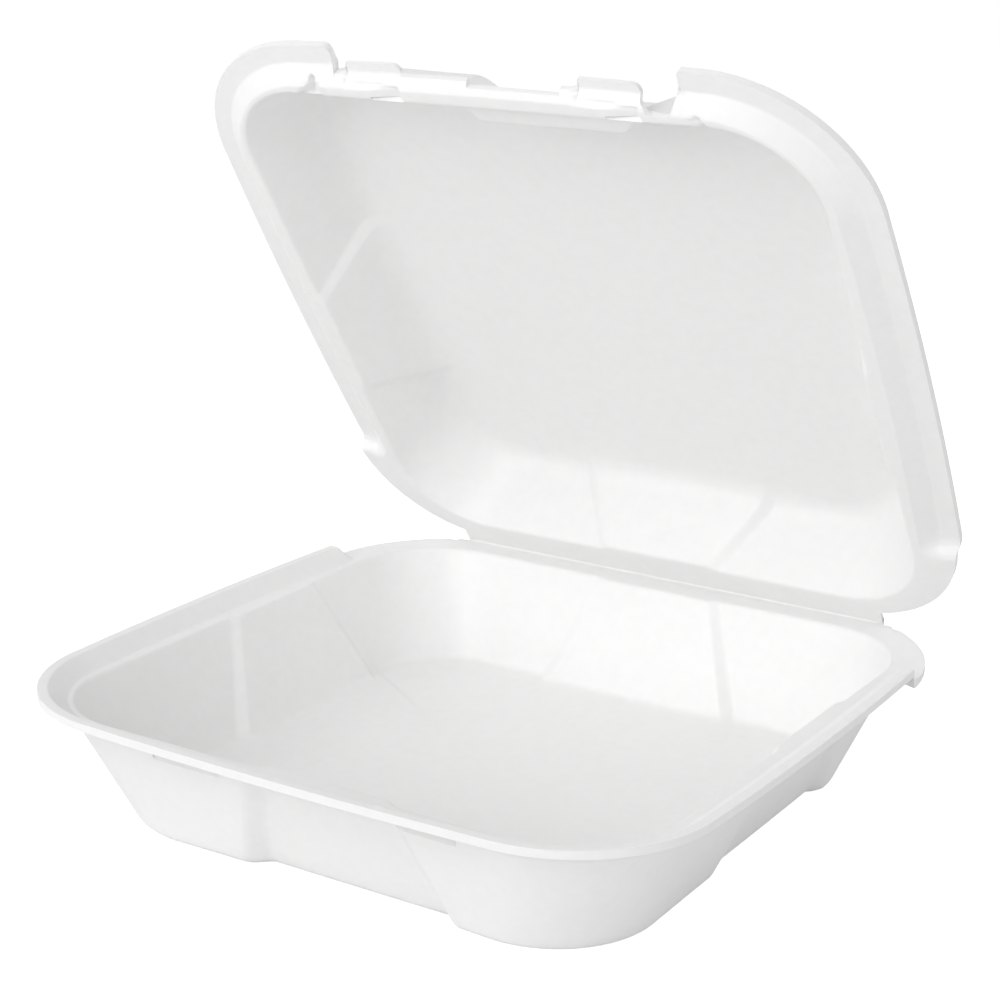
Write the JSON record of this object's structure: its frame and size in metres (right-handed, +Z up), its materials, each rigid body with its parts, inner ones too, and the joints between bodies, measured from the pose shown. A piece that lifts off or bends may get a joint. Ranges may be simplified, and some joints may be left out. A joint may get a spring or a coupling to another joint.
{
  "type": "foam clamshell container",
  "caption": "Square hinged foam takeaway container: a stepped-wall tray with a folding lid, rimmed to nest and snapped shut by front tabs.",
  "frame": {"origin": "centre of the tray's base, on the surface the container stands on", "axes": "+Z up, -Y towards the front edge with the lock slots, +X to the right seen from the front; the crease runs along X behind the tray"},
  "size_m": [0.2442, 0.2481, 0.2408],
  "materials": {
    "foam": "soft satin expanded foam"
  },
  "bodies": {
    "tray": {"tray": "foam"},
    "lid": {"lid": "foam"}
  },
  "joints": [
    {"name": "lid_hinge", "type": "hinge", "parent": "tray", "child": "lid", "pos_m": [0, 0.116, 0.0409], "axis": [-1, 0, 0], "range_deg": [-55.8, 124.2]}
  ]
}
